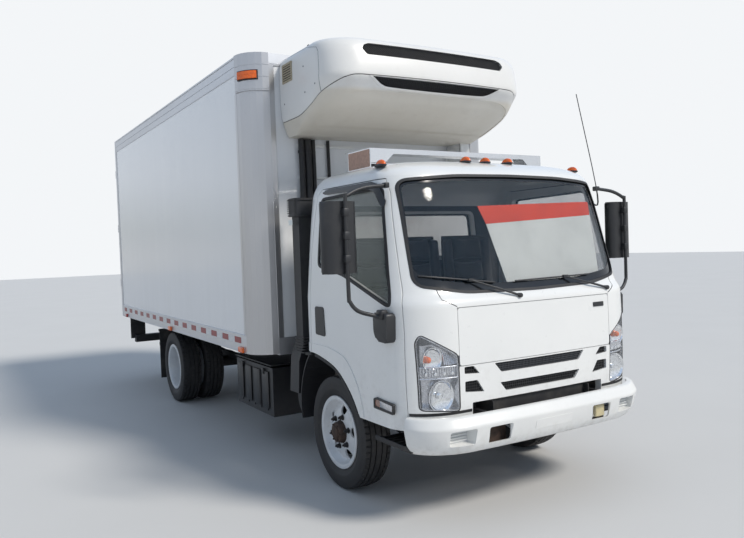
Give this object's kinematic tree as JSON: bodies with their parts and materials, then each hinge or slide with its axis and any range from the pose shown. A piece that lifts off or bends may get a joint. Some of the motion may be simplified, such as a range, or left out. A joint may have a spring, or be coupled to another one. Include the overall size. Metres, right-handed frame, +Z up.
{
  "type": "refrigerated box truck",
  "caption": "Low-cab-forward truck with an insulated box body, a nose-mounted cooling unit, rear swing doors, a tilting cab and twin rear wheels.",
  "frame": {"origin": "middle of the truck's outline in plan, on the ground", "axes": "+X to the front of the truck, +Y to its left, +Z up"},
  "size_m": [7.07, 2.73, 3.3],
  "materials": {
    "white_paint": "gloss white paint",
    "wheel_paint": "pale grey wheel paint, slightly dirty",
    "frame_paint": "matt black chassis paint",
    "cast_metal": "grey cast iron",
    "black_plastic": "grained black plastic",
    "black_rubber": "matt black rubber",
    "tyre_rubber": "dusty black tyre rubber",
    "white_panel": "gloss white skin with faint waves",
    "aluminium": "brushed aluminium",
    "white_plastic": "white moulded cover",
    "window_glass": "clear, slightly dark glass",
    "lamp_glass": "clear lamp lens",
    "grey_cloth": "dark grey woven cloth"
  },
  "bodies": {
    "chassis": {"frame": "frame_paint", "front_axle": "frame_paint", "rear_axle": "frame_paint", "powertrain": "cast_metal", "battery_box": "black_plastic", "fuel_tank": "frame_paint", "air_intake": "black_plastic", "mudguard_left": "black_plastic", "mudguard_right": "black_plastic", "mud_flaps": "black_rubber", "front_bumper": "white_paint", "box_floor": "aluminium", "box_front_wall": "white_panel", "box_wall_left": "white_panel", "box_wall_right": "white_panel", "box_roof": "aluminium", "box_post_left": "aluminium", "box_post_right": "aluminium", "box_rear_frame": "aluminium", "rear_step": "frame_paint", "unit_cowl": "white_plastic", "unit_belly": "white_plastic", "unit_hoses": "black_rubber", "evaporator": "white_plastic"},
    "cab": {"cab_roof": "white_paint", "cab_back": "white_paint", "cab_front": "white_paint", "cab_grille": "white_paint", "cab_floor": "frame_paint", "windscreen": "window_glass", "rear_window": "window_glass", "headlamp_left": "lamp_glass", "headlamp_right": "lamp_glass", "seat_driver": "grey_cloth", "seat_bench": "grey_cloth", "dashboard": "black_plastic", "roof_tray": "aluminium"},
    "lid": {"service_lid": "white_paint"},
    "steering": {"steering_wheel": "black_plastic"},
    "left_cab_door": {"cab_door_left": "white_paint", "door_glass_left": "window_glass", "mirror_left": "black_plastic"},
    "right_cab_door": {"cab_door_right": "white_paint", "door_glass_right": "window_glass", "mirror_right": "black_plastic"},
    "left_rear_door": {"rear_door_left": "white_panel"},
    "right_rear_door": {"rear_door_right": "white_panel"},
    "left_knuckle": {"knuckle_left": "frame_paint"},
    "right_knuckle": {"knuckle_right": "frame_paint"},
    "left_front_wheel": {"front_tyre_left": "tyre_rubber", "front_rim_left": "wheel_paint"},
    "right_front_wheel": {"front_tyre_right": "tyre_rubber", "front_rim_right": "wheel_paint"},
    "left_rear_wheels": {"rear_tyre_inner_left": "tyre_rubber", "rear_tyre_outer_left": "tyre_rubber", "rear_rims_left": "wheel_paint"},
    "right_rear_wheels": {"rear_tyre_inner_right": "tyre_rubber", "rear_tyre_outer_right": "tyre_rubber", "rear_rims_right": "wheel_paint"}
  },
  "joints": [
    {"name": "cab_tilt", "type": "hinge", "parent": "chassis", "child": "cab", "pos_m": [3.435, 0, 0.66], "axis": [0, 1, 0], "range_deg": [0, 45]},
    {"name": "lid_hinge", "type": "hinge", "parent": "cab", "child": "lid", "pos_m": [3.425, 0, 1.346], "axis": [0, -1, 0], "range_deg": [0, 60]},
    {"name": "steering_wheel_turn", "type": "hinge", "parent": "cab", "child": "steering", "pos_m": [2.815, 0.47, 1.414], "axis": [-0.84, 0, 0.5425], "range_deg": [-570, 570]},
    {"name": "left_cab_door_hinge", "type": "hinge", "parent": "cab", "child": "left_cab_door", "pos_m": [3.265, 0.966, 1.2], "axis": [0, 0, -1], "range_deg": [0, 70]},
    {"name": "right_cab_door_hinge", "type": "hinge", "parent": "cab", "child": "right_cab_door", "pos_m": [3.265, -0.966, 1.2], "axis": [0, 0, 1], "range_deg": [0, 70]},
    {"name": "left_rear_door_hinge", "type": "hinge", "parent": "chassis", "child": "left_rear_door", "pos_m": [-3.49, 1.205, 2.1], "axis": [0, 0, -1], "range_deg": [0, 270]},
    {"name": "right_rear_door_hinge", "type": "hinge", "parent": "chassis", "child": "right_rear_door", "pos_m": [-3.49, -1.205, 2.1], "axis": [0, 0, 1], "range_deg": [0, 270]},
    {"name": "left_steer", "type": "hinge", "parent": "chassis", "child": "left_knuckle", "pos_m": [2.315, 0.7, 0.405], "axis": [0, 0, 1], "range_deg": [-38, 38]},
    {"name": "right_steer", "type": "hinge", "parent": "chassis", "child": "right_knuckle", "pos_m": [2.315, -0.7, 0.405], "axis": [0, 0, 1], "range_deg": [-38, 38]},
    {"name": "left_front_wheel_spin", "type": "hinge", "parent": "left_knuckle", "child": "left_front_wheel", "pos_m": [2.315, 0.8325, 0.405], "axis": [0, 1, 0], "continuous": true},
    {"name": "right_front_wheel_spin", "type": "hinge", "parent": "right_knuckle", "child": "right_front_wheel", "pos_m": [2.315, -0.8325, 0.405], "axis": [0, 1, 0], "continuous": true},
    {"name": "left_rear_wheels_spin", "type": "hinge", "parent": "chassis", "child": "left_rear_wheels", "pos_m": [-1.495, 0.825, 0.405], "axis": [0, 1, 0], "continuous": true},
    {"name": "right_rear_wheels_spin", "type": "hinge", "parent": "chassis", "child": "right_rear_wheels", "pos_m": [-1.495, -0.825, 0.405], "axis": [0, 1, 0], "continuous": true}
  ],
  "couplings": [
    {"joint": "right_steer", "follows": "left_steer", "ratio": 1},
    {"joint": "steering_wheel_turn", "follows": "left_steer", "ratio": 15}
  ]
}
